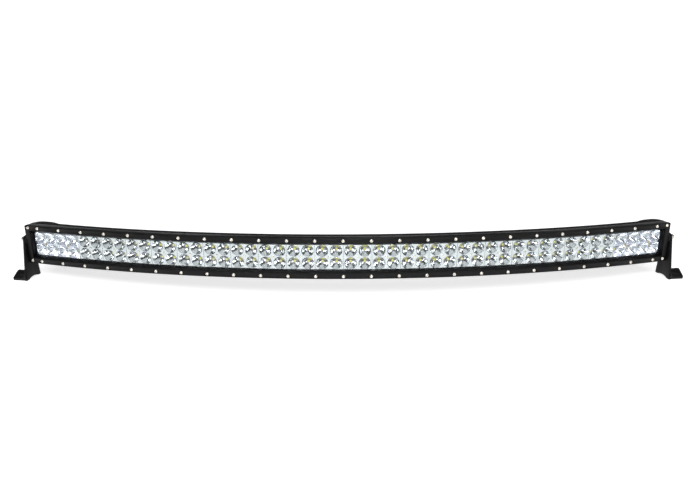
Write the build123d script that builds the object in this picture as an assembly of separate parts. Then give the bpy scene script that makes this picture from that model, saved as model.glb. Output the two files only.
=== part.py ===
from build123d import *
import os
from math import acos, asin, atan2, cos, degrees, radians, sin

# Curved double-row LED light bar on two swivelling end brackets, aimed a little upwards.
# Millimetres. +X runs along the bar, the light shines towards -Y, and +Z is up.
# The origin lies midway between the two foot slots, on the plane that the feet stand on.
#
# The bar is a bent extrusion: every long piece is one flat section, drawn in (depth, height),
# turned about one vertical axis behind the bar. Places along it are arc lengths s, measured
# on the front face from the middle. Depth is counted back from the front face, and height
# from the bar's own mid-plane.

# --- Bend and overall size ---
BEND_RADIUS = 1950.0  # of the front face
BAR_HALF = 640.0  # arc length from the middle to the outer face of an end cap
AIM = 7.5  # degrees that the bar's front is raised when the feet stand level
PIVOT_ABOVE_FOOT = 77.6
HALF_HEIGHT = 38.5  # of the front frame

# --- Front frame: two rails ---
RAIL_FACE_INNER = 28.5  # height of the rail face's inner edge
WINDOW_HALF = 24.0  # height of the rail lip at the lens
LIP_DEPTH = 7.4  # depth over which the lip slopes inwards
LENS_FRONT = 7.8  # depth of the lens face, and of the rails' seat
RAIL_FLANGE_END = 17.0
RAIL_FLANGE_THICKNESS = 2.1
RAIL_EDGE = 0.6  # chamfer along the rail's front corner
RAIL_END_CHAMFER = 2.5
RAIL_SCREW_HEIGHT = 33.5
RAIL_SCREW_HEAD = 3.3
RAIL_COUNTERBORE = 4.2
RAIL_SCREW_SEAT = 1.2
RAIL_SCREW_PITCH = 50.8
RAIL_SCREWS_EACH_SIDE = 12
CORNER_SCREW_AT = 632.8

# --- Lens and seal ---
LENS_THICKNESS = 2.2
LENS_HALF_HEIGHT = 30.8
LENS_HALF_LENGTH = 631.0
GASKET_THICKNESS = 0.8
GASKET_WIDTH = 5.0
GASKET_END_WIDTH = 2.4
LENS_SLOT_CLEARANCE = 0.4

# --- Housing ---
HOUSING_HALF = 626.0
CAP_GASKET = 1.0
SEAT_HALF_HEIGHT = LENS_HALF_HEIGHT + LENS_SLOT_CLEARANCE
CAVITY_HALF_HEIGHT = 25.0
BASE_FRONT = 28.0
BASE_BACK = 34.0
SIDE_TOP = HALF_HEIGHT - RAIL_FLANGE_THICKNESS
CHAMBER_HALF_HEIGHT = 12.0
CHAMBER_BACK = 49.0
CHAMBER_WALL = 2.5
FIN_PITCH = 6.6
FIN_THICKNESS = 2.2
FINS_EACH_SIDE = 5
FIN_INSET = 3.0  # how far the fins stay inside the end caps' outline
TOP_RIBS = (20.0, 24.5, 29.0)  # depths of the small ribs along the top and bottom
TOP_RIB_HALF = 1.0

# --- End caps ---
CAP_DEPTH = 88.0
CAP_SHOULDER = (54.0, 33.2)  # points on the cap's arched top edge
CAP_HEEL = (81.0, 20.0)
CAP_SCREWS = ((31.0, 30.8), (66.0, 2 * FIN_PITCH))
CAP_SCREW_PORT = 4.2
LIP_SLOPE = 1.0  # how much further out the lip's front edge is than its foot
LIP_INNER = 628.4
CAP_POCKET = 629.8  # the lamps' cavity runs a little way into each cap

# --- Light engine ---
MODULE_COUNT = 24
FLOOD_MODULES_PER_END = 2
MODULE_PITCH = 52.36  # along the front arc
MODULE_LENGTH = 51.5
MODULE_HALF_HEIGHT = 23.7
CUP_PITCH_X = 26.0
CUP_PITCH_Z = 23.5
REFLECTOR_FRONT = 11.1
REFLECTOR_BACK = 25.6
CUP_MOUTH = 11.2
CUP_THROAT = 3.4
FLOOD_MOUTH_HALF = 11.0
BOARD_THICKNESS = 1.6
PAD_THICKNESS = 0.4
BOARD_COUNT = 6
LED_SIZE = 4.4
SCREW_TIP = 31.5
LED_HEIGHT = 1.0
DOME_RADIUS = 1.6

# --- Drivers in the rear chamber ---
DRIVER_SPACING = 300.0
DRIVER_COUNT = 4
DRIVER_LENGTH = 92.0
LEAD_RADIUS = 1.1

# --- Cable gland and vent ---
GLAND_AT = -45.0
VENT_AT = 45.0
GLAND_POCKET = 15.0
VENT_POCKET = 12.0
CABLE_HOLE = 3.3

# --- Brackets: heights and depths from the pivot, "out" along the pivot's axis ---
PIVOT_DEPTH = 6.5
PIVOT_HEIGHT = 7.5
PIVOT_RADIUS = 3.0
PIVOT_ENGAGEMENT = 8.0
PIVOT_HEAD_RADIUS = 5.2
PIVOT_HEAD_HEIGHT = 6.0
LEG_BORE = 3.08
LEG_TOP_RADIUS = 9.5
FRICTION_WASHER = 1.0
LEG_THICKNESS = 5.2
FLAT_WASHER = 1.4
# running clearance between the leg and the washer under the bolt head
LEG_PLAY = 0.03
SPRING_WASHER = 1.6
FOOT_FRONT = -30.4
FOOT_BACK = 6.4
FOOT_THICKNESS = 4.8
HEEL_RADIUS = 5.0
FOOT_FRONT_CORNER = (27.0, -35.5)  # the foot's outer corners: out and back
FOOT_BACK_CORNER = (48.0, -1.0)
FOOT_SLOT_OUT = 22.5
FOOT_SLOT_BACK = -14.5
FOOT_SLOT_LENGTH = 17.0
FOOT_SLOT_WIDTH = 8.5
ARCH_HEIGHT = 3.6
ARCH_HALF = 12.0
ARCH_REACH = 6.8

# --- Where the bar and the brackets stand ---
AIM_ANGLE = radians(AIM)
END_ANGLE = BAR_HALF / BEND_RADIUS
HEADING = atan2(sin(END_ANGLE) * cos(AIM_ANGLE), cos(END_ANGLE))  # of a bracket, from above
LEAN = asin(sin(END_ANGLE) * sin(AIM_ANGLE))  # of a leg, as its pivot's axis dips
PIVOT_X = (BEND_RADIUS - PIVOT_DEPTH) * sin(END_ANGLE)
PIVOT_SWEEP = BEND_RADIUS - (BEND_RADIUS - PIVOT_DEPTH) * cos(END_ANGLE)  # behind the front's middle
PIVOT_Y = -FOOT_SLOT_OUT * sin(HEADING) - FOOT_SLOT_BACK * cos(HEADING)
FRONT_Y = PIVOT_Y - PIVOT_SWEEP * cos(AIM_ANGLE) - PIVOT_HEIGHT * sin(AIM_ANGLE)
FRONT_Z = PIVOT_ABOVE_FOOT + PIVOT_SWEEP * sin(AIM_ANGLE) - PIVOT_HEIGHT * cos(AIM_ANGLE)
BAR_PLACE = Pos(0, FRONT_Y, FRONT_Z) * Rot(-AIM, 0, 0)
FOOT_PLACE = Pos(PIVOT_X, PIVOT_Y, 0) * Rot(0, 0, degrees(HEADING))
LEG_PLACE = FOOT_PLACE * Pos(0, 0, PIVOT_ABOVE_FOOT) * Rot(0, degrees(LEAN), 0)
BEND_AXIS = Axis((0, BEND_RADIUS, 0), (0, 0, 1))


# --- Helpers ---
def on_bar(s, depth=0.0, height=0.0):
    """A place on the bar: local X runs along it, local Y back into it, local Z up."""
    turn = degrees(s / BEND_RADIUS)
    return BAR_PLACE * Pos(0, BEND_RADIUS, 0) * Rot(0, 0, turn) * Pos(0, depth - BEND_RADIUS, height)


def bend(section, s_from, s_to):
    """The section, drawn in (depth, height), carried round the bend from s_from to s_to."""
    start = (Plane.YZ * section).rotate(BEND_AXIS, degrees(s_from / BEND_RADIUS))
    arc = degrees((s_to - s_from) / BEND_RADIUS)
    return BAR_PLACE * revolve(start, axis=BEND_AXIS, revolution_arc=arc)


def area(*points):
    """A flat face with these corners."""
    return make_face(Polyline(*points, close=True))


def block(depth_from, depth_to, height_from, height_to):
    """A rectangle in (depth, height)."""
    size = (depth_to - depth_from, height_to - height_from)
    return Pos((depth_from + depth_to) / 2, (height_from + height_to) / 2) * Rectangle(*size)


def both(section):
    """The section and its mirror image below the mid-plane."""
    return section + mirror(section, about=Plane.XZ)


def back_rod(radius, depth_from, depth_to):
    """A cylinder along the depth direction, in a place's own axes."""
    length = depth_to - depth_from
    return Pos(0, depth_from + length / 2, 0) * Rot(90, 0, 0) * Cylinder(radius, length)


def side_rod(radius, out_from, out_to):
    """A cylinder along the bar, in a place's own axes."""
    length = out_to - out_from
    return Pos(out_from + length / 2, 0, 0) * Rot(0, 90, 0) * Cylinder(radius, length)


def ring(outer, inner, out_from, out_to):
    """A washer whose axis runs along the bar."""
    return side_rod(outer, out_from, out_to) - side_rod(inner, out_from - 1, out_to + 1)


def flip(shape):
    """The same shape at the bar's other end."""
    return mirror(shape, about=Plane.YZ)


def save(name, shape):
    """Writes a node as one STEP file of its separate solids."""
    solids = shape.solids()
    body = solids[0] if len(solids) == 1 else Compound(children=list(solids))
    export_step(body, f"parts/{name}.step")


# --- Sections ---
def rail_section():
    """Upper rail: face, sloping lip over the lens, and a flange back over the housing."""
    return area(
        (0, RAIL_FACE_INNER),
        (0, HALF_HEIGHT - RAIL_EDGE),
        (RAIL_EDGE, HALF_HEIGHT),
        (RAIL_FLANGE_END, HALF_HEIGHT),
        (RAIL_FLANGE_END, SIDE_TOP),
        (LENS_FRONT, SIDE_TOP),
        (LENS_FRONT, WINDOW_HALF),
        (LIP_DEPTH, WINDOW_HALF),
    )


def cap_outline(front=LENS_FRONT):
    """End cap seen from the side: rail seats in front, arched top and bottom, round back."""
    heel_down = (CAP_HEEL[0], -CAP_HEEL[1])
    shoulder_down = (CAP_SHOULDER[0], -CAP_SHOULDER[1])
    edges = [
        Polyline(
            (RAIL_FLANGE_END, -HALF_HEIGHT),
            (RAIL_FLANGE_END, -SIDE_TOP),
            (front, -SIDE_TOP),
            (front, SIDE_TOP),
            (RAIL_FLANGE_END, SIDE_TOP),
            (RAIL_FLANGE_END, HALF_HEIGHT),
        ),
        ThreePointArc((RAIL_FLANGE_END, HALF_HEIGHT), CAP_SHOULDER, CAP_HEEL),
        ThreePointArc(CAP_HEEL, (CAP_DEPTH, 0), heel_down),
        ThreePointArc(heel_down, shoulder_down, (RAIL_FLANGE_END, -HALF_HEIGHT)),
    ]
    return make_face(Curve() + edges)


def fin_section():
    """Lengthwise cooling fins whose tips follow the end caps' outline, a little inside it."""
    envelope = offset(cap_outline(), amount=-FIN_INSET)
    fins = Sketch()
    for k in range(-FINS_EACH_SIDE, FINS_EACH_SIDE + 1):
        height = k * FIN_PITCH
        start = BASE_BACK - 1 if abs(height) > CHAMBER_HALF_HEIGHT else CHAMBER_BACK + 1
        fins += block(start, CAP_DEPTH, height - FIN_THICKNESS / 2, height + FIN_THICKNESS / 2)
    return fins & envelope


def housing_section():
    """Side walls with the lens seat, base wall behind the lamps, rear chamber, ribs and fins."""
    seat_back = LENS_FRONT + LENS_THICKNESS + GASKET_THICKNESS
    side = block(LENS_FRONT, BASE_BACK, SEAT_HALF_HEIGHT, SIDE_TOP)
    side += block(seat_back, BASE_BACK + 2, CAVITY_HALF_HEIGHT, SIDE_TOP)
    side -= block(19.0, BASE_FRONT - 3.5, 28.0, SIDE_TOP - 2.4)
    for depth in TOP_RIBS:
        side += block(depth - TOP_RIB_HALF, depth + TOP_RIB_HALF, SIDE_TOP - 1, HALF_HEIGHT - 0.3)
    walls = both(side) + block(BASE_FRONT, BASE_BACK, -SIDE_TOP, SIDE_TOP)
    chamber_top = CHAMBER_HALF_HEIGHT + CHAMBER_WALL
    walls += block(BASE_BACK - 1, CHAMBER_BACK + CHAMBER_WALL, -chamber_top, chamber_top)
    walls += fin_section()
    rear_port = CAP_SCREWS[1]
    walls += both(Pos(*rear_port) * Circle(CAP_SCREW_PORT))
    return walls - block(BASE_BACK, CHAMBER_BACK, -CHAMBER_HALF_HEIGHT, CHAMBER_HALF_HEIGHT)


# --- Places that repeat ---
def rail_screw_places(height):
    along = [k * RAIL_SCREW_PITCH for k in range(-RAIL_SCREWS_EACH_SIDE, RAIL_SCREWS_EACH_SIDE + 1)]
    along = [-CORNER_SCREW_AT, *along, CORNER_SCREW_AT]
    return [on_bar(s, 0, height) for s in along]


def module_places():
    first = -(MODULE_COUNT - 1) / 2
    return [on_bar((first + k) * MODULE_PITCH) for k in range(MODULE_COUNT)]


def cup_offsets():
    return [
        (x * CUP_PITCH_X / 2, z * CUP_PITCH_Z / 2) for x in (-1, 1) for z in (-1, 1)
    ]


# --- Front frame ---
def make_rail(side):
    """side is +1 for the upper rail and -1 for the lower one."""
    section = rail_section() if side > 0 else mirror(rail_section(), about=Plane.XZ)
    rail = bend(section, -BAR_HALF, BAR_HALF)
    corner = Rot(0, 45, 0) * Box(2 * RAIL_END_CHAMFER, 60, 2 * RAIL_END_CHAMFER)
    corner_places = [on_bar(end * (BAR_HALF + 1), 0, side * (HALF_HEIGHT + 1)) for end in (-1, 1)]
    cuts = [place * corner for place in corner_places]
    for place in rail_screw_places(side * RAIL_SCREW_HEIGHT):
        cuts.append(place * back_rod(RAIL_COUNTERBORE, -1, RAIL_SCREW_SEAT))
        cuts.append(place * back_rod(1.7, 0, LENS_FRONT + 1))
    return rail - cuts


def rail_screw():
    """Button-head socket screw, its head standing a little out of its counterbore."""
    seat = RAIL_SCREW_SEAT
    profile = make_face(
        Curve()
        + [
            Polyline((0, seat - 2), (1.5, seat - 2)),
            ThreePointArc((1.5, seat - 2), (2.7, seat - 1.4), (RAIL_SCREW_HEAD, seat)),
            Polyline(
                (RAIL_SCREW_HEAD, seat), (1.5, seat), (1.5, 15.0), (1.1, 15.6), (0, 15.6), (0, seat - 2)
            ),
        ]
    )
    screw = revolve(profile, axis=Axis.Y, revolution_arc=360)
    socket = extrude(Plane.XZ.offset(-(seat - 0.8)) * RegularPolygon(1.15, 6), amount=2)
    return screw - socket


def make_rail_screws(side):
    screw = rail_screw()
    return Compound(children=[p * screw for p in rail_screw_places(side * RAIL_SCREW_HEIGHT)])


# --- Lens and its seal ---
def make_lens():
    back = LENS_FRONT + LENS_THICKNESS
    section = block(LENS_FRONT, back, -LENS_HALF_HEIGHT, LENS_HALF_HEIGHT)
    return bend(section, -LENS_HALF_LENGTH, LENS_HALF_LENGTH)


def make_lens_gasket():
    front = LENS_FRONT + LENS_THICKNESS
    back = front + GASKET_THICKNESS
    inner = LENS_HALF_HEIGHT - GASKET_WIDTH
    section = block(front, back, -LENS_HALF_HEIGHT, LENS_HALF_HEIGHT)
    outer = bend(section, -LENS_HALF_LENGTH, LENS_HALF_LENGTH)
    hole_half = LENS_HALF_LENGTH - GASKET_END_WIDTH
    return outer - bend(block(front - 1, back + 1, -inner, inner), -hole_half, hole_half)


# --- Housing ---
def make_housing():
    housing = bend(housing_section(), -HOUSING_HALF, HOUSING_HALF)
    wall = CHAMBER_BACK + CHAMBER_WALL
    cuts = [
        on_bar(GLAND_AT) * back_rod(GLAND_POCKET, wall, 100),
        on_bar(VENT_AT) * back_rod(VENT_POCKET, wall, 100),
        on_bar(GLAND_AT) * back_rod(6.05, CHAMBER_BACK - 1, wall + 1),
        on_bar(VENT_AT) * back_rod(5.05, CHAMBER_BACK - 1, wall + 1),
    ]
    cuts += [place * back_rod(1.25, BASE_FRONT - 1, SCREW_TIP + 0.4) for place in module_places()]
    for side in (-1, 1):
        inner_screws = rail_screw_places(side * RAIL_SCREW_HEIGHT)[1:-1]
        cuts += [place * back_rod(1.55, LENS_FRONT - 1, 18.0) for place in inner_screws]
    for place in cap_screw_places():
        cuts.append(place * side_rod(1.8, -32.0, 1.0))
        cuts.append(flip(place * side_rod(1.8, -32.0, 1.0)))
    return housing - cuts


# --- Right end cap; the left one is its mirror image ---
def cap_screw_places():
    return [
        on_bar(BAR_HALF, depth, side * height) for depth, height in CAP_SCREWS for side in (-1, 1)
    ]


def pivot_place():
    return on_bar(BAR_HALF, PIVOT_DEPTH, PIVOT_HEIGHT)


def make_end_cap():
    """Cast cap: arched plate behind, and a front bezel whose lip closes over the lens."""
    plate = bend(cap_outline(), HOUSING_HALF + CAP_GASKET, BAR_HALF)
    bezel_section = area(
        (0, -RAIL_FACE_INNER),
        (0, RAIL_FACE_INNER),
        (LIP_DEPTH, WINDOW_HALF),
        (LENS_FRONT, WINDOW_HALF),
        (LENS_FRONT, -WINDOW_HALF),
        (LIP_DEPTH, -WINDOW_HALF),
    )
    bezel = bend(bezel_section, LIP_INNER, BAR_HALF)
    wedge = area((1.5 * LIP_SLOPE, -LIP_DEPTH / 2), (0, LIP_DEPTH), (-4, LIP_DEPTH), (-4, -4))
    wedge = Pos(0, 0, -40) * extrude(wedge, amount=80)
    slot_end = LENS_HALF_LENGTH + LENS_SLOT_CLEARANCE
    seat_back = LENS_FRONT + LENS_THICKNESS + GASKET_THICKNESS
    seat_section = block(LENS_FRONT, seat_back, -SEAT_HALF_HEIGHT, SEAT_HALF_HEIGHT)
    seat = bend(seat_section, LIP_INNER - 3, slot_end)
    pocket_section = block(seat_back - 1, BASE_FRONT, -CAVITY_HALF_HEIGHT, CAVITY_HALF_HEIGHT)
    pocket = bend(pocket_section, LIP_INNER - 3, CAP_POCKET)
    pivot_hole = pivot_place() * side_rod(PIVOT_RADIUS + 0.05, -PIVOT_ENGAGEMENT, 1)
    cuts = [on_bar(LIP_INNER) * wedge, seat, pocket, pivot_hole]
    for place in cap_screw_places():
        cuts.append(place * side_rod(4.0, -3.4, 1))
        cuts.append(place * side_rod(2.2, -20, 0))
    for side in (-1, 1):
        corner = on_bar(CORNER_SCREW_AT, 0, side * RAIL_SCREW_HEIGHT)
        cuts.append(corner * back_rod(1.55, LENS_FRONT - 1, 18.0))
    return (plate + bezel) - cuts


def make_cap_gasket():
    """Flat silicone seal between the housing's end and the cap."""
    seat_back = LENS_FRONT + LENS_THICKNESS + GASKET_THICKNESS
    section = offset(cap_outline(), amount=-1.0) & block(seat_back, 95, -60, 60)
    section -= block(seat_back - 1, BASE_FRONT, -CAVITY_HALF_HEIGHT, CAVITY_HALF_HEIGHT)
    seal = bend(section, HOUSING_HALF, HOUSING_HALF + CAP_GASKET)
    return seal - [place * side_rod(2.2, -20, 0) for place in cap_screw_places()]


def cap_screw():
    """Cheese-head socket screw, head flush in the cap."""
    screw = side_rod(3.6, -3.4, -0.4) + side_rod(1.75, -31.0, -3.4)
    return screw - extrude(Plane.YZ.offset(-2.4) * RegularPolygon(1.7, 6), amount=4)


def make_cap_screws():
    screw = cap_screw()
    return Compound(children=[place * screw for place in cap_screw_places()])


# --- Reflectors, boards and lamps ---
def cup_cutter():
    """Deep round dish of a spot reflector, in the module's own axes."""
    depth = REFLECTOR_BACK - REFLECTOR_FRONT
    profile = make_face(
        Curve()
        + [
            Polyline((0, -1), (CUP_MOUTH, -1), (CUP_MOUTH, 0)),
            ThreePointArc((CUP_MOUTH, 0), (0.82 * CUP_MOUTH, 0.56 * depth), (CUP_THROAT, depth)),
            Polyline((CUP_THROAT, depth), (CUP_THROAT, depth + 1), (0, depth + 1), (0, -1)),
        ]
    )
    return revolve(profile, axis=Axis.Y, revolution_arc=360)


def flood_cutter():
    """Shallow square-mouthed dish of a flood reflector: loft from a square to a round throat."""
    depth = REFLECTOR_BACK - REFLECTOR_FRONT
    mouth = Plane.XZ * RectangleRounded(2 * FLOOD_MOUTH_HALF, 2 * FLOOD_MOUTH_HALF, 4)
    waist = Plane.XZ.offset(-0.55 * depth) * RectangleRounded(15, 15, 5)
    throat = Plane.XZ.offset(-depth) * RectangleRounded(2 * CUP_THROAT, 2 * CUP_THROAT, CUP_THROAT - 0.1)
    return loft([mouth, waist, throat], ruled=True) + back_rod(CUP_THROAT - 0.1, depth - 0.1, depth + 1)


def reflector_module(cutter):
    """Block of four dishes with a screw hole in the middle, front face at local Y = 0."""
    depth = REFLECTOR_BACK - REFLECTOR_FRONT
    module = Pos(0, depth / 2, 0) * Box(MODULE_LENGTH, depth, 2 * MODULE_HALF_HEIGHT)
    cuts = [Pos(x, 0, z) * cutter for x, z in cup_offsets()]
    cuts += [back_rod(1.4, -1, depth + 1), back_rod(2.6, -1, 4.0)]
    return module - cuts


def make_reflectors(flood):
    module = reflector_module(flood_cutter() if flood else cup_cutter())
    chosen = []
    for index, place in enumerate(module_places()):
        at_end = min(index, MODULE_COUNT - 1 - index) < FLOOD_MODULES_PER_END
        if at_end == flood:
            chosen.append(place * Pos(0, REFLECTOR_FRONT, 0) * module)
    return Compound(children=chosen)


def make_reflector_screws():
    screw = back_rod(2.2, 2.2, 4.0) + back_rod(1.2, 4.0, SCREW_TIP - REFLECTOR_FRONT)
    screw -= extrude(Plane.XZ.offset(-3.2) * RectangleRounded(3.0, 0.7, 0.2), amount=2)
    screw -= extrude(Plane.XZ.offset(-3.2) * RectangleRounded(0.7, 3.0, 0.2), amount=2)
    return Compound(children=[p * Pos(0, REFLECTOR_FRONT, 0) * screw for p in module_places()])


def board_spans():
    length = MODULE_COUNT * MODULE_PITCH / BOARD_COUNT
    first = -MODULE_COUNT * MODULE_PITCH / 2
    gap = 0.3
    return [(first + k * length + gap, first + (k + 1) * length - gap) for k in range(BOARD_COUNT)]


def make_led_boards():
    back = BASE_FRONT - PAD_THICKNESS
    section = block(back - BOARD_THICKNESS, back, -MODULE_HALF_HEIGHT, MODULE_HALF_HEIGHT)
    holes = [p * back_rod(1.25, back - 3, back + 1) for p in module_places()]
    boards = [bend(section, a, b) - holes for a, b in board_spans()]
    return Compound(children=boards)


def make_thermal_pads():
    section = block(BASE_FRONT - PAD_THICKNESS, BASE_FRONT, -MODULE_HALF_HEIGHT, MODULE_HALF_HEIGHT)
    holes = [p * back_rod(1.25, BASE_FRONT - 3, BASE_FRONT + 1) for p in module_places()]
    return Compound(children=[bend(section, a, b) - holes for a, b in board_spans()])


def led_places():
    board_face = BASE_FRONT - PAD_THICKNESS - BOARD_THICKNESS
    seat = board_face + 0.02  # the board curves back by this much at each lamp
    return [place * Pos(x, seat, z) for place in module_places() for x, z in cup_offsets()]


def make_led_packages():
    package = Pos(0, -LED_HEIGHT / 2, 0) * Box(LED_SIZE, LED_HEIGHT, LED_SIZE)
    return Compound(children=[p * package for p in led_places()])


def make_led_domes():
    dome = Sphere(DOME_RADIUS) & Pos(0, -DOME_RADIUS, 0) * Box(9, 2 * DOME_RADIUS, 9)
    return Compound(children=[p * Pos(0, -LED_HEIGHT, 0) * dome for p in led_places()])


# --- Drivers and leads in the rear chamber ---
def driver_places():
    first = -(DRIVER_COUNT - 1) / 2
    return [on_bar((first + k) * DRIVER_SPACING, BASE_BACK + 1.5) for k in range(DRIVER_COUNT)]


def make_driver_boards():
    board = Pos(0, 0.8, 0) * Box(DRIVER_LENGTH, 1.6, 20)
    return Compound(children=[p * board for p in driver_places()])


def make_driver_pads():
    """Soft pad between each flat board and the curved wall."""
    pad = Pos(0, -1, 0) * Box(DRIVER_LENGTH - 6, 2, 18)
    room = bend(block(BASE_BACK, BASE_BACK + 9, -9.5, 9.5), -BAR_HALF, BAR_HALF)
    return Compound(children=[(p * pad) & room for p in driver_places()])


def make_driver_inductors():
    coil = back_rod(5.0, 1.6, 8.6) - back_rod(2.0, 5.0, 9.0)
    coils = [p * Pos(x, 0, 3.5) * coil for p in driver_places() for x in (-30, -14, 20)]
    return Compound(children=coils)


def make_driver_capacitors():
    can = back_rod(3.1, 1.6, 9.6)
    cans = [p * Pos(x, 0, 4.5) * can for p in driver_places() for x in (2, 34)]
    return Compound(children=cans)


def make_supply_lead(depth):
    """One conductor that runs along the chamber's lower corner past every driver."""
    section = Pos(depth, -10.8) * Circle(LEAD_RADIUS)
    reach = (DRIVER_COUNT - 1) / 2 * DRIVER_SPACING + DRIVER_LENGTH / 2
    return bend(section, -reach, reach)


# --- Cable gland and pressure vent on the back ---
WALL_FACE = CHAMBER_BACK + CHAMBER_WALL


def make_gland_body():
    hexagon = extrude(Plane.XZ.offset(-(WALL_FACE + 1)) * RegularPolygon(9.6, 6), amount=-5)
    body = hexagon + back_rod(6.0, CHAMBER_BACK - 4.5, WALL_FACE + 1)
    body += back_rod(7.0, WALL_FACE + 6, WALL_FACE + 13)
    body -= back_rod(4.2, CHAMBER_BACK - 6, WALL_FACE + 8)
    body -= back_rod(5.6, WALL_FACE + 7, WALL_FACE + 14)
    return on_bar(GLAND_AT) * body


def make_gland_washer():
    washer = back_rod(9.0, WALL_FACE, WALL_FACE + 1) - back_rod(6.05, WALL_FACE - 1, WALL_FACE + 2)
    return on_bar(GLAND_AT) * washer


def make_gland_locknut():
    """Thin nut on the gland's thread, inside the chamber."""
    hexagon = extrude(Plane.XZ.offset(-(CHAMBER_BACK - 3.5)) * RegularPolygon(9.0, 6), amount=-3.5)
    return on_bar(GLAND_AT) * (hexagon - back_rod(6.05, CHAMBER_BACK - 5, CHAMBER_BACK + 1))


def make_gland_seal():
    seal = back_rod(5.5, WALL_FACE + 7, WALL_FACE + 16) - back_rod(CABLE_HOLE, WALL_FACE + 6, WALL_FACE + 17)
    return on_bar(GLAND_AT) * seal


def make_gland_nut():
    """Ribbed dome nut that squeezes the seal round the cable."""
    start = WALL_FACE + 7
    nut = back_rod(9.0, start, start + 8)
    profile = make_face(
        Curve()
        + [
            Polyline((0, start + 8), (9.0, start + 8)),
            ThreePointArc((9.0, start + 8), (7.9, start + 11), (5.5, start + 12.5)),
            Polyline((5.5, start + 12.5), (0, start + 12.5), (0, start + 8)),
        ]
    )
    nut += revolve(profile, axis=Axis.Y, revolution_arc=360)
    nut -= back_rod(7.1, start - 1, start + 6.2)
    nut -= back_rod(5.6, start, start + 9.2)
    nut -= back_rod(4.4, start, start + 14)
    groove = Pos(9.6, 0, 0) * back_rod(1.0, start - 1, start + 9)
    nut -= [Rot(0, turn, 0) * groove for turn in range(0, 360, 20)]
    return on_bar(GLAND_AT) * nut


def make_vent_plug():
    cap = back_rod(7.0, WALL_FACE + 1, WALL_FACE + 5)
    plug = cap + back_rod(5.0, CHAMBER_BACK - 0.8, WALL_FACE + 1)
    plug -= back_rod(2.5, CHAMBER_BACK - 2, WALL_FACE + 3.4)
    slot = Pos(0, WALL_FACE + 2.6, 0) * Box(20, 1.0, 1.8)
    plug -= [Rot(0, turn, 0) * slot for turn in (0, 60, 120)]
    return on_bar(VENT_AT) * plug


def make_vent_ring():
    seal = back_rod(6.4, WALL_FACE, WALL_FACE + 1) - back_rod(5.05, WALL_FACE - 1, WALL_FACE + 2)
    return on_bar(VENT_AT) * seal


def make_vent_membrane():
    return on_bar(VENT_AT) * back_rod(2.4, WALL_FACE - 1.0, WALL_FACE - 0.5)


# --- Right bracket and its pivot; the left ones are mirror images ---
def tangent_point(corner, radius, side):
    """Where a line from corner touches the circle of that radius about the pivot."""
    angle = atan2(corner[1], corner[0]) + side * acos(radius / (corner[0] ** 2 + corner[1] ** 2) ** 0.5)
    return (radius * cos(angle), radius * sin(angle))


def make_bracket():
    """Flared leg round the pivot bolt, with a foot turned outwards and a relief arch below."""
    low = -PIVOT_ABOVE_FOOT
    front, back = (FOOT_FRONT, low), (FOOT_BACK, low)
    leg_face = area(
        (FOOT_FRONT, low - 9),
        (FOOT_BACK, low - 9),
        back,
        tangent_point(back, LEG_TOP_RADIUS, 1),
        tangent_point(front, LEG_TOP_RADIUS, -1),
        front,
    )
    leg_face += Circle(LEG_TOP_RADIUS)
    side_plane = Plane(origin=(FRICTION_WASHER, 0, 0), x_dir=(0, 1, 0), z_dir=(1, 0, 0))
    leg = LEG_PLACE * extrude(side_plane * leg_face, amount=LEG_THICKNESS)
    foot_face = area(
        (-6, FOOT_FRONT),
        (LEG_THICKNESS, FOOT_FRONT),
        FOOT_FRONT_CORNER,
        FOOT_BACK_CORNER,
        (LEG_THICKNESS, FOOT_BACK),
        (-6, FOOT_BACK),
    )
    foot_face = fillet(foot_face.vertices().filter_by(lambda v: v.X > 2 * LEG_THICKNESS), 3.0)
    foot = FOOT_PLACE * extrude(foot_face, amount=FOOT_THICKNESS)
    bracket = leg + foot + FOOT_PLACE * heel_fillet()
    inside = LEG_PLACE * Pos(FRICTION_WASHER - 50, 0, 0) * Box(100, 200, 300)
    below = FOOT_PLACE * Pos(0, 0, -50) * Box(200, 200, 100)
    arch_radius = (ARCH_HALF**2 + ARCH_HEIGHT**2) / (2 * ARCH_HEIGHT)
    middle = (FOOT_FRONT + FOOT_BACK) / 2
    arch = Pos(0, middle, ARCH_HEIGHT - arch_radius) * side_rod(arch_radius, -12, ARCH_REACH)
    slot_place = Pos(FOOT_SLOT_OUT, FOOT_SLOT_BACK, 0) * Rot(0, 0, -degrees(HEADING))
    slot = extrude(SlotOverall(FOOT_SLOT_LENGTH, FOOT_SLOT_WIDTH), amount=20, both=True)
    bore = LEG_PLACE * side_rod(LEG_BORE, -1, 10)
    return bracket - [inside, below, FOOT_PLACE * arch, FOOT_PLACE * slot_place * slot, bore]


def heel_fillet():
    """Concave rounding between the leg's outer side and the top of the foot."""
    out = (FRICTION_WASHER + LEG_THICKNESS) / cos(LEAN) - PIVOT_ABOVE_FOOT * sin(LEAN)
    top = FOOT_THICKNESS
    bulge = HEEL_RADIUS * (1 - cos(radians(45)))
    profile = make_face(
        Curve()
        + [
            ThreePointArc(
                (out, top + HEEL_RADIUS), (out + bulge, top + bulge), (out + HEEL_RADIUS, top)
            ),
            Polyline(
                (out + HEEL_RADIUS, top),
                (out + HEEL_RADIUS, top - 2),
                (out - 3, top - 2),
                (out - 3, top + HEEL_RADIUS),
                (out, top + HEEL_RADIUS),
            ),
        ]
    )
    end_plane = Plane(origin=(0, FOOT_BACK, 0), x_dir=(1, 0, 0), z_dir=(0, -1, 0))
    return extrude(end_plane * profile, amount=FOOT_BACK - FOOT_FRONT)


HEAD_FROM = FRICTION_WASHER + LEG_THICKNESS + FLAT_WASHER + SPRING_WASHER


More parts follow.
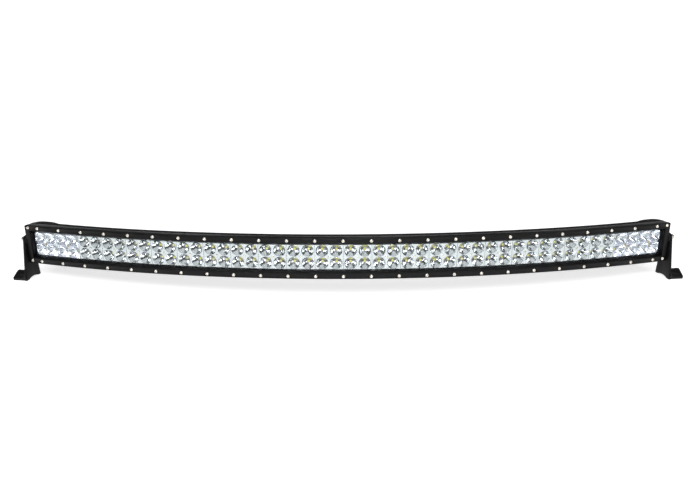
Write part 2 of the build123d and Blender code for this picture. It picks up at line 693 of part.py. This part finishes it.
def make_pivot_bolt():
    """Socket cap bolt, screwed into the end cap."""
    head = side_rod(PIVOT_HEAD_RADIUS, HEAD_FROM, HEAD_FROM + PIVOT_HEAD_HEIGHT)
    rim = [e for e in head.edges() if e.center().X > HEAD_FROM + 1]
    head = fillet(rim, 0.8)
    bolt = head + side_rod(PIVOT_RADIUS, -PIVOT_ENGAGEMENT + 0.5, HEAD_FROM)
    socket = extrude(Plane.YZ.offset(HEAD_FROM + 2.6) * RegularPolygon(2.9, 6), amount=6)
    return pivot_place() * (bolt - socket)


def make_friction_washer():
    return pivot_place() * ring(9.0, LEG_BORE, 0, FRICTION_WASHER)


def make_flat_washer():
    start = FRICTION_WASHER + LEG_THICKNESS
    return pivot_place() * ring(7.2, LEG_BORE, start + LEG_PLAY, start + FLAT_WASHER)


def make_spring_washer():
    """Split ring under the bolt head."""
    start = FRICTION_WASHER + LEG_THICKNESS + FLAT_WASHER
    split = Pos(start, 0, 5) * Rot(0, 20, 0) * Box(6, 0.8, 6)
    return pivot_place() * (ring(5.4, LEG_BORE, start, start + SPRING_WASHER) - split)


# --- Build and write ---
def main():
    os.makedirs("parts", exist_ok=True)
    save("housing", make_housing())
    save("upper_rail", make_rail(1))
    save("lower_rail", make_rail(-1))
    save("upper_rail_screws", make_rail_screws(1))
    save("lower_rail_screws", make_rail_screws(-1))
    save("lens", make_lens())
    save("lens_gasket", make_lens_gasket())
    save("spot_reflectors", make_reflectors(flood=False))
    save("flood_reflectors", make_reflectors(flood=True))
    save("reflector_screws", make_reflector_screws())
    save("led_boards", make_led_boards())
    save("thermal_pads", make_thermal_pads())
    save("led_packages", make_led_packages())
    save("led_domes", make_led_domes())
    save("driver_boards", make_driver_boards())
    save("driver_inductors", make_driver_inductors())
    save("driver_capacitors", make_driver_capacitors())
    save("driver_pads", make_driver_pads())
    save("supply_lead_positive", make_supply_lead(CHAMBER_BACK - LEAD_RADIUS - 0.02))
    save("supply_lead_negative", make_supply_lead(CHAMBER_BACK - 3 * LEAD_RADIUS - 0.06))
    save("gland_body", make_gland_body())
    save("gland_washer", make_gland_washer())
    save("gland_locknut", make_gland_locknut())
    save("gland_seal", make_gland_seal())
    save("gland_nut", make_gland_nut())
    save("vent_plug", make_vent_plug())
    save("vent_ring", make_vent_ring())
    save("vent_membrane", make_vent_membrane())
    end_pieces = {
        "end_cap": make_end_cap(),
        "cap_gasket": make_cap_gasket(),
        "cap_screws": make_cap_screws(),
        "bracket": make_bracket(),
        "pivot_bolt": make_pivot_bolt(),
        "friction_washer": make_friction_washer(),
        "flat_washer": make_flat_washer(),
        "spring_washer": make_spring_washer(),
    }
    for name, piece in end_pieces.items():
        save(f"right_{name}", piece)
        save(f"left_{name}", flip(piece))


main()
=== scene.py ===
"""Curved two-row LED light bar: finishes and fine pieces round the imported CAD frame."""

import math

import bmesh
import bpy
from mathutils import Matrix, Vector


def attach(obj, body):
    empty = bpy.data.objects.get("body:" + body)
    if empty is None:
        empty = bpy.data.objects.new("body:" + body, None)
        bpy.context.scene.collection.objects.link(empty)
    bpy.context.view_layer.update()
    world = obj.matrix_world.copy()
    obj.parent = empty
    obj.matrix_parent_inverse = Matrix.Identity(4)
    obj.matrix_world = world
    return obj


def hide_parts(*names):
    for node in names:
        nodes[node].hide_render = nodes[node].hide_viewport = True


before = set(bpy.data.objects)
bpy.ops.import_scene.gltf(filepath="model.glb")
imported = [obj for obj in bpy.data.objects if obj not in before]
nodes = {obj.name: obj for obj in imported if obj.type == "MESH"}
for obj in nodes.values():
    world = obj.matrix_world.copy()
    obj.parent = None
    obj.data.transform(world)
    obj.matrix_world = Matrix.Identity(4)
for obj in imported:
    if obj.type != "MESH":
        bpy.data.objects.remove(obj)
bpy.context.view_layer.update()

MM = 0.001

# ---------------------------------------------------------------- camera
CAMERA_PLACE = (0.0329, -1.1303, 0.5682)
CAMERA_TURN = (65.604, 0.593, 0.877)
CAMERA_LENS = 32.38

camera_data = bpy.data.cameras.new("camera")
camera_data.lens = CAMERA_LENS
camera_data.sensor_width = 36
camera_data.clip_end = 50
camera = bpy.data.objects.new("camera", camera_data)
camera.location = CAMERA_PLACE
camera.rotation_euler = [math.radians(a) for a in CAMERA_TURN]
bpy.context.scene.collection.objects.link(camera)
bpy.context.scene.camera = camera

# ---------------------------------------------------------------- the bar's own axes
# The bar is bent round one axis behind it and aimed upwards. The numbers are the CAD's own.
BEND_RADIUS = 1950.0
AIM = math.radians(7.5)
FRONT_MIDDLE = Vector((0, -103.734, 84.553))


def on_bar(s, depth=0.0, height=0.0):
    """Where a piece modelled in metres goes: s mm along the bar, depth mm back into it.

    Its X then runs along the bar, its Y back into it and its Z up.
    """
    turn = Matrix.Rotation(s / BEND_RADIUS, 4, "Z")
    bent = Matrix.Translation((0, BEND_RADIUS, 0)) @ turn
    bent = bent @ Matrix.Translation((0, depth - BEND_RADIUS, height))
    aimed = Matrix.Translation(FRONT_MIDDLE) @ Matrix.Rotation(-AIM, 4, "X")
    return Matrix.Scale(MM, 4) @ aimed @ bent @ Matrix.Scale(1 / MM, 4)


# ---------------------------------------------------------------- materials
def linear(hex_colour):
    """sRGB hex to the linear colour that Blender works in."""
    channels = [int(hex_colour[i : i + 2], 16) / 255 for i in (1, 3, 5)]
    curve = [c / 12.92 if c <= 0.04045 else ((c + 0.055) / 1.055) ** 2.4 for c in channels]
    return (*curve, 1.0)


def add(tree, kind, inputs=None, **settings):
    """Adds a node. An input that is a socket is linked, and any other value is set."""
    made = tree.nodes.new(kind)
    for name, value in settings.items():
        setattr(made, name, value)
    for name, value in (inputs or {}).items():
        if isinstance(value, bpy.types.NodeSocket):
            tree.links.new(value, made.inputs[name])
        else:
            made.inputs[name].default_value = value
    return made


def start_material(name):
    """A material with its Principled shader, and the object's coordinates in metres."""
    made = bpy.data.materials.new(name)
    made.use_nodes = True
    tree = made.node_tree
    place = add(tree, "ShaderNodeTexCoord").outputs["Object"]
    return made, tree, tree.nodes["Principled BSDF"], place


def per_mm(size_mm):
    """Noise scale, in metres, whose features are about this many millimetres across."""
    return 1000 / size_mm


def mottled(tree, place, size_mm, dark, light, detail=3.0):
    """A colour that drifts between two hexes in patches of this size."""
    noise = add(
        tree, "ShaderNodeTexNoise", {"Vector": place, "Scale": per_mm(size_mm), "Detail": detail}
    )
    ramp = add(tree, "ShaderNodeValToRGB", {"Fac": noise.outputs["Fac"]})
    ramp.color_ramp.elements[0].color = linear(dark)
    ramp.color_ramp.elements[1].color = linear(light)
    ramp.color_ramp.elements[0].position = 0.35
    ramp.color_ramp.elements[1].position = 0.65
    return ramp.outputs["Color"], noise.outputs["Fac"]


def powder_coat():
    """Satin powder coat on aluminium: near-black, with a fine orange-peel skin."""
    made, tree, shader, place = start_material("powder_coat_satin_black")
    colour, patches = mottled(tree, place, 9.0, "#060607", "#0a0a0c")
    tree.links.new(colour, shader.inputs["Base Color"])
    rough = add(
        tree, "ShaderNodeMapRange", {"Value": patches, "To Min": 0.34, "To Max": 0.44}
    )
    tree.links.new(rough.outputs["Result"], shader.inputs["Roughness"])
    # the real peel is about 0.4 mm across; drawn at 0.9 mm so that it shows
    peel = add(tree, "ShaderNodeTexNoise", {"Vector": place, "Scale": per_mm(0.9), "Detail": 2.0})
    bump = add(
        tree, "ShaderNodeBump", {"Height": peel.outputs["Fac"], "Strength": 0.25, "Distance": 0.00008}
    )
    tree.links.new(bump.outputs["Normal"], shader.inputs["Normal"])
    shader.inputs["Specular IOR Level"].default_value = 0.2
    return made


def anodised_extrusion():
    """Black anodised extrusion: finer than the paint, with faint lines drawn out along the bar."""
    made, tree, shader, place = start_material("anodised_extrusion_black")
    stretch = add(tree, "ShaderNodeMapping", {"Vector": place, "Scale": (0.02, 1.0, 1.0)})
    lines = add(
        tree,
        "ShaderNodeTexNoise",
        {"Vector": stretch.outputs["Vector"], "Scale": per_mm(0.8), "Detail": 4.0},
    )
    colour = add(tree, "ShaderNodeValToRGB", {"Fac": lines.outputs["Fac"]})
    colour.color_ramp.elements[0].color = linear("#0a0a0b")
    colour.color_ramp.elements[1].color = linear("#131314")
    tree.links.new(colour.outputs["Color"], shader.inputs["Base Color"])
    rough = add(
        tree,
        "ShaderNodeMapRange",
        {"Value": lines.outputs["Fac"], "To Min": 0.32, "To Max": 0.5},
    )
    tree.links.new(rough.outputs["Result"], shader.inputs["Roughness"])
    bump = add(
        tree, "ShaderNodeBump", {"Height": lines.outputs["Fac"], "Strength": 0.2, "Distance": 0.00005}
    )
    tree.links.new(bump.outputs["Normal"], shader.inputs["Normal"])
    shader.inputs["Specular IOR Level"].default_value = 0.25
    return made


def stainless(name="stainless_turned", tint="#e4dfd6"):
    """Turned stainless steel: bright and faintly warm, with fine cutting marks."""
    made, tree, shader, place = start_material(name)
    marks = add(tree, "ShaderNodeTexNoise", {"Vector": place, "Scale": per_mm(0.5), "Detail": 3.0})
    rough = add(
        tree,
        "ShaderNodeMapRange",
        {"Value": marks.outputs["Fac"], "To Min": 0.18, "To Max": 0.36},
    )
    tree.links.new(rough.outputs["Result"], shader.inputs["Roughness"])
    bump = add(
        tree, "ShaderNodeBump", {"Height": marks.outputs["Fac"], "Strength": 0.15, "Distance": 0.00004}
    )
    tree.links.new(bump.outputs["Normal"], shader.inputs["Normal"])
    shader.inputs["Base Color"].default_value = linear(tint)
    shader.inputs["Metallic"].default_value = 1.0
    return made


def metallised_reflector():
    """Vacuum-metallised plastic: mirror bright, with the slight waviness of a moulded part."""
    made, tree, shader, place = start_material("metallised_mirror")
    wave = add(tree, "ShaderNodeTexNoise", {"Vector": place, "Scale": per_mm(3.5), "Detail": 2.0})
    bump = add(
        tree, "ShaderNodeBump", {"Height": wave.outputs["Fac"], "Strength": 0.5, "Distance": 0.0006}
    )
    tree.links.new(bump.outputs["Normal"], shader.inputs["Normal"])
    shader.inputs["Base Color"].default_value = linear("#d2d3d5")
    shader.inputs["Metallic"].default_value = 1.0
    shader.inputs["Roughness"].default_value = 0.06
    return made


def pearl_reflector():
    """Metallised over a grained mould: pearly and cool, so the bowls shade smoothly."""
    made, tree, shader, place = start_material("metallised_pearl")
    grain = add(tree, "ShaderNodeTexNoise", {"Vector": place, "Scale": per_mm(1.2), "Detail": 3.0})
    rough = add(
        tree,
        "ShaderNodeMapRange",
        {"Value": grain.outputs["Fac"], "To Min": 0.19, "To Max": 0.25},
    )
    tree.links.new(rough.outputs["Result"], shader.inputs["Roughness"])
    bump = add(
        tree, "ShaderNodeBump", {"Height": grain.outputs["Fac"], "Strength": 0.05, "Distance": 0.00003}
    )
    tree.links.new(bump.outputs["Normal"], shader.inputs["Normal"])
    shader.inputs["Base Color"].default_value = linear("#e2e3ea")
    shader.inputs["Metallic"].default_value = 0.95
    return made


def gloss_share(tree, head_on):
    """Share of the light that a clear skin reflects: little head on, and more at a slant.

    It is the same on both sides, so light that has passed in also passes out.
    """
    slant = add(tree, "ShaderNodeLayerWeight", {"Blend": 0.5})
    rise = add(tree, "ShaderNodeMath", operation="POWER")
    tree.links.new(slant.outputs["Facing"], rise.inputs[0])
    # the fifth power is Schlick's rule for a clear surface
    rise.inputs[1].default_value = 5.0
    share = add(tree, "ShaderNodeMapRange", {"Value": rise.outputs["Value"], "To Min": head_on})
    return share.outputs["Result"]


def clear(name, tint, gloss_tint, roughness, head_on):
    """Clear sheet or dome: see-through, with a gloss that shows where the view is slanting."""
    made, tree, shader, _ = start_material(name)
    tree.nodes.remove(shader)
    through = add(tree, "ShaderNodeBsdfTransparent", {"Color": linear(tint)})
    gloss = add(tree, "ShaderNodeBsdfPrincipled", {"Base Color": linear(gloss_tint)})
    gloss.inputs["Metallic"].default_value = 1.0
    gloss.inputs["Roughness"].default_value = roughness
    mix = add(tree, "ShaderNodeMixShader", {"Fac": gloss_share(tree, head_on)})
    tree.links.new(through.outputs["BSDF"], mix.inputs[1])
    tree.links.new(gloss.outputs["BSDF"], mix.inputs[2])
    tree.links.new(mix.outputs["Shader"], tree.nodes["Material Output"].inputs["Surface"])
    return made


def moulded(name, dark, light, roughness, patch_mm=2.0, bump_mm=0.05, **sockets):
    """A moulded, sintered or cast finish: two close shades and a fine grain."""
    made, tree, shader, place = start_material(name)
    colour, patches = mottled(tree, place, patch_mm, dark, light)
    tree.links.new(colour, shader.inputs["Base Color"])
    rough = add(
        tree,
        "ShaderNodeMapRange",
        {"Value": patches, "To Min": roughness - 0.06, "To Max": roughness + 0.06},
    )
    tree.links.new(rough.outputs["Result"], shader.inputs["Roughness"])
    bump = add(
        tree,
        "ShaderNodeBump",
        {"Height": patches, "Strength": 0.3, "Distance": bump_mm * MM},
    )
    tree.links.new(bump.outputs["Normal"], shader.inputs["Normal"])
    for socket, value in sockets.items():
        shader.inputs[socket.replace("_", " ")].default_value = value
    return made


POWDER = powder_coat()
ANODISED = anodised_extrusion()
STEEL = stainless()
SCREW_TAN = stainless("zinc_yellow_passivated", "#b9a584")
MIRROR = metallised_reflector()
PEARL = pearl_reflector()
CLEAR = clear("polycarbonate_clear", "#fafcfc", "#f2f6f6", 0.03, head_on=0.02)
CLEAR_SILICONE = clear("silicone_clear", "#ffffff", "#ffffff", 0.05, head_on=0.03)
RUBBER = moulded("silicone_rubber_black", "#101010", "#1c1c1c", 0.7)
NYLON = moulded("nylon_black", "#141414", "#202020", 0.5, bump_mm=0.08)
BOARD_WHITE = moulded("solder_mask_white", "#dcdcd6", "#f0f0ec", 0.35)
BOARD_GREEN = moulded("solder_mask_green", "#0b3a1c", "#125028", 0.35)
GAP_FILLER = moulded("gap_filler_grey", "#74777c", "#8c9096", 0.8)
CERAMIC = moulded("alumina_white", "#e2dfd6", "#f2efe6", 0.5)
PHOSPHOR = moulded("phosphor_yellow_painted_glow", "#d8cc1c", "#f0e43a", 0.4, patch_mm=0.6, Coat_Weight=1.0)
# painted glow: the phosphor is given a yellow emission, standing for its fluorescence, which lifts the
# dies, shaded down in the cups, and their reflections into bright yellow glints
painted_glow = PHOSPHOR.node_tree.nodes["Principled BSDF"].inputs
painted_glow["Emission Color"].default_value = linear("#e8dc28")
painted_glow["Emission Strength"].default_value = 0.7
FERRITE = moulded("ferrite_sintered", "#232427", "#33353a", 0.6)
CAN = stainless("aluminium_can", "#c4c6ca")
LEAD_RED = moulded("pvc_red", "#8c1414", "#a81c1c", 0.4)
LEAD_BLACK = moulded("pvc_black", "#131313", "#1d1d1d", 0.4)
MEMBRANE = moulded("ptfe_membrane", "#dcdcdc", "#f0f0f0", 0.8)


def dress(obj, material):
    """Gives an object one material all over."""
    obj.data.materials.clear()
    obj.data.materials.append(material)
    for face in obj.data.polygons:
        face.material_index = 0


# ---------------------------------------------------------------- modelling helpers
def only(obj):
    """Selects this object alone and makes it active."""
    bpy.ops.object.select_all(action="DESELECT")
    obj.select_set(True)
    bpy.context.view_layer.objects.active = obj


def refine(node, bevel_mm, material, segments=2, sharp=35.0):
    """Rounds every edge of a CAD node, on a merged copy that then stands for it."""
    piece = bpy.data.objects.new(node + "_edged", nodes[node].data.copy())
    bpy.context.scene.collection.objects.link(piece)
    only(piece)
    bpy.ops.object.mode_set(mode="EDIT")
    bpy.ops.mesh.select_all(action="SELECT")
    bpy.ops.mesh.remove_doubles(threshold=2e-6)
    bpy.ops.mesh.dissolve_limited(angle_limit=math.radians(0.3))
    bpy.ops.object.mode_set(mode="OBJECT")
    bevel = piece.modifiers.new("bevel", "BEVEL")
    bevel.width = bevel_mm * MM
    bevel.segments = segments
    bevel.limit_method = "ANGLE"
    bevel.angle_limit = math.radians(sharp)
    bpy.ops.object.modifier_apply(modifier="bevel")
    bpy.ops.object.shade_smooth_by_angle(angle=math.radians(sharp - 5))
    dress(piece, material)
    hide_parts(node)
    return piece


def circle(size):
    """An outline is a function from an angle to a radius in mm; this one's is the same all round."""
    return lambda angle: size


def hexagon(size):
    """Corners at this radius."""
    half = math.radians(30)
    return lambda angle: size * math.cos(half) / math.cos(angle % (2 * half) - half)


def rectangle(width, height):
    """Straight sides, centred."""

    def radius(angle):
        across, up = abs(math.cos(angle)), abs(math.sin(angle))
        reach_x = width / 2 / across if across > 1e-9 else math.inf
        reach_y = height / 2 / up if up > 1e-9 else math.inf
        return min(reach_x, reach_y)

    return radius


def squircle(half_x, half_y, power):
    """From an ellipse at power 2 to nearly a rectangle as power grows; a cross below 1."""

    def radius(angle):
        across, up = abs(math.cos(angle)) / half_x, abs(math.sin(angle)) / half_y
        return (across**power + up**power) ** (-1 / power)

    return radius


def rings(name, outlines, segments, corner=math.radians(45), closed=True):
    """Extrudes a ring through (outline, depth) steps, in mm; depth runs along local Y.

    corner is the angle of the corners that the outlines share, where a vertex is put.
    """
    bpy.ops.object.select_all(action="DESELECT")
    bpy.ops.mesh.primitive_circle_add(vertices=segments, radius=1, fill_type="NOTHING")
    piece = bpy.context.object
    piece.name = name
    bpy.ops.object.mode_set(mode="EDIT")
    mesh = bmesh.from_edit_mesh(piece.data)
    quarter = math.radians(90)
    for vertex in mesh.verts:
        angle = math.atan2(vertex.co.y, vertex.co.x)
        turns, part = divmod(angle + quarter / 2, quarter)
        half = corner if turns % 2 == 0 else quarter - corner
        angle = turns * quarter + (part / quarter * 2 - 1) * half
        vertex.co = (math.cos(angle), 0, math.sin(angle))
    for index, (outline, depth) in enumerate(outlines):
        if index:
            bpy.ops.mesh.extrude_region_move()
            mesh = bmesh.from_edit_mesh(piece.data)
        for vertex in mesh.verts:
            if vertex.select:
                angle = math.atan2(vertex.co.z, vertex.co.x)
                reach = outline(angle) * MM
                vertex.co = (reach * math.cos(angle), depth * MM, reach * math.sin(angle))
        if index == 0 and closed:
            bpy.ops.mesh.edge_face_add()
    if closed:
        bpy.ops.mesh.edge_face_add()
    bmesh.update_edit_mesh(piece.data)
    bpy.ops.mesh.select_all(action="SELECT")
    bpy.ops.mesh.normals_make_consistent(inside=False)
    bpy.ops.object.mode_set(mode="OBJECT")
    return piece


def copies(name, pattern, places, sharp=35.0):
    """One piece made of the pattern at every place; the pattern itself is removed."""
    made = []
    for place in places:
        twin = bpy.data.objects.new(name, pattern.data.copy())
        twin.data.transform(place)
        bpy.context.scene.collection.objects.link(twin)
        made.append(twin)
    bpy.data.objects.remove(pattern)
    bpy.ops.object.select_all(action="DESELECT")
    for twin in made:
        twin.select_set(True)
    bpy.context.view_layer.objects.active = made[0]
    if len(made) > 1:
        bpy.ops.object.join()
    piece = bpy.context.view_layer.objects.active
    piece.name = name
    bpy.ops.object.shade_smooth_by_angle(angle=math.radians(sharp))
    return piece


# ---------------------------------------------------------------- reflectors
MODULE_COUNT = 24
MODULE_PITCH = 52.36
MODULE_LENGTH = 51.5
MODULE_HEIGHT = 47.4
FLOODS_PER_END = 2
REFLECTOR_FRONT = 11.1
REFLECTOR_DEPTH = 14.5
CELL_X, CELL_Z = MODULE_LENGTH / 2, MODULE_HEIGHT / 2
CUP_PITCH_X = 26.0
CUP_PITCH_Z = 23.5
THROAT = 3.3
CUP_SEGMENTS = 40


def spot_cell():
    """Deep parabolic cup with a proud, rounded rim."""
    mouth, bottom = 11.1, 12.0
    steps = 9
    spread = (mouth**2 - THROAT**2) / bottom
    cup = []
    for k in range(steps + 1):
        depth = bottom * k / steps
        cup.append((circle(math.sqrt(THROAT**2 + spread * (bottom - depth))), depth))
    return [
        (rectangle(CELL_X, CELL_Z), REFLECTOR_DEPTH),
        (rectangle(CELL_X, CELL_Z), 0.0),
        (circle(11.75), 0.0),
        (circle(11.6), -0.3),
        (circle(11.3), -0.35),
        *cup,
        (circle(THROAT), REFLECTOR_DEPTH),
        (rectangle(CELL_X, CELL_Z), REFLECTOR_DEPTH),
    ]


def flood_cell():
    """Rounded-square bowl with a proud rim, which narrows to a round throat."""
    return [
        (rectangle(CELL_X, CELL_Z), REFLECTOR_DEPTH),
        (rectangle(CELL_X, CELL_Z), 0.0),
        (squircle(12.4, 11.5, 8), 0.0),
        (squircle(12.3, 11.4, 8), -0.4),
        (squircle(11.9, 11.0, 7), -0.4),
        (squircle(11.7, 10.8, 6), 0.5),
        (squircle(11.4, 10.6, 5), 1.8),
        (squircle(10.6, 9.9, 4), 3.6),
        (squircle(9.5, 9.0, 3.3), 5.6),
        (squircle(8.1, 7.8, 2.7), 7.8),
        (squircle(6.4, 6.3, 2.3), 9.8),
        (squircle(4.7, 4.7, 2.1), 11.3),
        (circle(THROAT), 12.2),
        (circle(THROAT), REFLECTOR_DEPTH),
        (rectangle(CELL_X, CELL_Z), REFLECTOR_DEPTH),
    ]


def reflector_module(name, outlines):
    """Four cells side by side, in the module's own axes."""
    corner = math.atan2(CELL_Z, CELL_X)
    cell = rings(name, outlines, CUP_SEGMENTS, corner, closed=False)
    spots = [
        Matrix.Translation((x * CELL_X / 2 * MM, 0, z * CELL_Z / 2 * MM))
        for x in (-1, 1)
        for z in (-1, 1)
    ]
    return copies(name, cell, spots)


def module_at(index):
    """Distance of a module's middle along the bar, in mm."""
    return (index - (MODULE_COUNT - 1) / 2) * MODULE_PITCH


def module_places(flood):
    """Places of the flood modules, which are the outer ones at each end, or of the spot modules."""
    places = []
    for index in range(MODULE_COUNT):
        at_end = min(index, MODULE_COUNT - 1 - index) < FLOODS_PER_END
        if at_end == flood:
            places.append(on_bar(module_at(index), REFLECTOR_FRONT))
    return places


for flood, name, outlines, finish, node in (
    (False, "spot_cups", spot_cell(), MIRROR, "spot_reflectors"),
    (True, "flood_bowls", flood_cell(), PEARL, "flood_reflectors"),
):
    module = reflector_module(name, outlines)
    piece = copies(name, module, module_places(flood))
    dress(piece, finish)
    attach(piece, "bar")
    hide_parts(node)

# ---------------------------------------------------------------- screws
module_screw = rings(
    "module_screws",
    [
        (squircle(1.3, 1.3, 0.75), -0.3),
        (squircle(1.3, 1.3, 0.75), -0.9),
        (circle(1.75), -0.87),
        (circle(2.2), -0.65),
        (circle(2.4), -0.25),
        (circle(2.4), 0.3),
    ],
    24,
)
for flood, name, finish in ((False, "spot_screws", STEEL), (True, "flood_screws", SCREW_TAN)):
    pattern = bpy.data.objects.new(name, module_screw.data.copy())
    bpy.context.scene.collection.objects.link(pattern)
    piece = copies(name, pattern, module_places(flood))
    dress(piece, finish)
    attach(piece, "bar")
    if flood:
        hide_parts("reflector_screws")
bpy.data.objects.remove(module_screw)

RAIL_SCREW_HEIGHT = 33.5
RAIL_SCREW_PITCH = 50.8
RAIL_SCREWS_PER_SIDE = 12
CORNER_SCREW_AT = 632.8
counted = range(-RAIL_SCREWS_PER_SIDE, RAIL_SCREWS_PER_SIDE + 1)
along = [-CORNER_SCREW_AT, *[k * RAIL_SCREW_PITCH for k in counted], CORNER_SCREW_AT]
for side, name in ((1, "upper_rail_screws"), (-1, "lower_rail_screws")):
    screw = rings(
        name + "_heads",
        [
            (hexagon(1.25), 0.5),
            (hexagon(1.25), -0.6),
            (circle(1.7), -0.8),
            (circle(2.3), -0.6),
            (circle(2.85), -0.1),
            (circle(3.2), 0.6),
            (circle(3.3), 1.2),
            (circle(3.2), 1.3),
        ],
        24,
    )
    places = [on_bar(s, 0, side * RAIL_SCREW_HEIGHT) for s in along]
    piece = copies(name + "_heads", screw, places)
    dress(piece, STEEL)
    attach(piece, "bar")
    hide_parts(name)

# ---------------------------------------------------------------- lamps
# front face of the lamp package, on which the die and the dome sit
LAMP_TOP = 25.02
dome = rings(
    "lamp_domes",
    [(circle(0.5), -1.55), (circle(1.0), -1.3), (circle(1.4), -0.75), (circle(1.6), 0.0)],
    16,
)
die = rings("lamp_dies", [(rectangle(2.3, 2.3), -0.15), (rectangle(2.4, 2.4), 0.0)], 8)
lamp_places = []
for index in range(MODULE_COUNT):
    s = module_at(index)
    for x in (-1, 1):
        for z in (-1, 1):
            offset = Matrix.Translation((x * CUP_PITCH_X / 2 * MM, 0, z * CUP_PITCH_Z / 2 * MM))
            lamp_places.append(on_bar(s, LAMP_TOP) @ offset)
for pattern, finish in ((dome, CLEAR_SILICONE), (die, PHOSPHOR)):
    piece = copies(pattern.name + "_row", pattern, lamp_places)
    dress(piece, finish)
    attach(piece, "bar")
    if finish is PHOSPHOR:
        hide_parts("led_domes")

# ---------------------------------------------------------------- edges of the CAD pieces
EDGED = {
    "upper_rail": (0.35, POWDER, "black_powder_coat", "bar"),
    "lower_rail": (0.35, POWDER, "black_powder_coat", "bar"),
    "right_end_cap": (0.5, POWDER, "black_powder_coat", "bar"),
    "left_end_cap": (0.5, POWDER, "black_powder_coat", "bar"),
    "right_bracket": (0.7, POWDER, "black_powder_coat", "right_foot_bracket"),
    "left_bracket": (0.7, POWDER, "black_powder_coat", "left_foot_bracket"),
    "right_pivot_bolt": (0.2, STEEL, "stainless", "bar"),
    "left_pivot_bolt": (0.2, STEEL, "stainless", "bar"),
    "right_flat_washer": (0.2, STEEL, "stainless", "bar"),
    "left_flat_washer": (0.2, STEEL, "stainless", "bar"),
    "right_spring_washer": (0.2, STEEL, "stainless", "bar"),
    "left_spring_washer": (0.2, STEEL, "stainless", "bar"),
    "gland_body": (0.3, NYLON, "black_nylon", "bar"),
    "gland_nut": (0.3, NYLON, "black_nylon", "bar"),
    "vent_plug": (0.25, NYLON, "black_nylon", "bar"),
}
for node, (width, finish, slot, body) in EDGED.items():
    piece = refine(node, width, finish)
    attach(piece, body)

# ---------------------------------------------------------------- CAD pieces that stay
FINISHES = {
    "housing": ANODISED,
    "lens": CLEAR,
    "lens_gasket": RUBBER,
    "led_boards": BOARD_WHITE,
    "thermal_pads": GAP_FILLER,
    "led_packages": CERAMIC,
    "driver_boards": BOARD_GREEN,
    "driver_pads": GAP_FILLER,
    "driver_inductors": FERRITE,
    "driver_capacitors": CAN,
    "supply_lead_positive": LEAD_RED,
    "supply_lead_negative": LEAD_BLACK,
    "gland_washer": RUBBER,
    "gland_locknut": NYLON,
    "gland_seal": RUBBER,
    "vent_ring": RUBBER,
    "vent_membrane": MEMBRANE,
    "right_cap_gasket": RUBBER,
    "left_cap_gasket": RUBBER,
    "right_cap_screws": STEEL,
    "left_cap_screws": STEEL,
    "right_friction_washer": NYLON,
    "left_friction_washer": NYLON,
}
for node, finish in FINISHES.items():
    dress(nodes[node], finish)

# ---------------------------------------------------------------- studio
FLOOR_SIZE = 60.0
# the floor lies a hair under the feet, so that the two faces don't flicker
FLOOR_DROP = 0.0002
bpy.ops.object.select_all(action="DESELECT")
bpy.ops.mesh.primitive_plane_add(size=FLOOR_SIZE, location=(0, 0, -FLOOR_DROP))
floor = bpy.context.object
floor.name = "studio_floor"
paper, _, paper_shader, _ = start_material("paper_white")
paper_shader.inputs["Base Color"].default_value = linear("#d0d0d0")
paper_shader.inputs["Emission Color"].default_value = linear("#ffffff")
paper_shader.inputs["Emission Strength"].default_value = 0.72
paper_shader.inputs["Roughness"].default_value = 0.9
dress(floor, paper)

world = bpy.data.worlds.new("studio")
world.use_nodes = True
backdrop = world.node_tree.nodes["Background"].inputs
backdrop["Color"].default_value = linear("#e8eaec")
backdrop["Strength"].default_value = 0.14
bpy.context.scene.world = world


BAR_MIDDLE = (0, 0, 0.05)


def softbox(name, place, aim, size, power):
    """A rectangular area light, turned to face a point."""
    data = bpy.data.lights.new(name, "AREA")
    data.shape = "RECTANGLE"
    data.size, data.size_y = size
    data.energy = power
    lamp = bpy.data.objects.new(name, data)
    lamp.location = place
    lamp.rotation_euler = (Vector(aim) - Vector(place)).to_track_quat("-Z", "Y").to_euler()
    bpy.context.scene.collection.objects.link(lamp)


softbox("key", (-0.4, -2.2, 2.6), BAR_MIDDLE, (1.4, 1.0), 50)
softbox("fill", (2.2, -1.6, 1.4), (0.1, 0, 0.05), (1.0, 1.4), 10)
softbox("front", (0, -1.3, 0.5), BAR_MIDDLE, (0.4, 0.3), 3.2)

sky = bpy.data.lights.new("overhead", "SUN")
sky.energy = 1.4
sky.angle = math.radians(70)
overhead = bpy.data.objects.new("overhead", sky)
overhead.rotation_euler = (math.radians(20), 0, 0)
bpy.context.scene.collection.objects.link(overhead)

bpy.context.scene.view_settings.view_transform = "Standard"
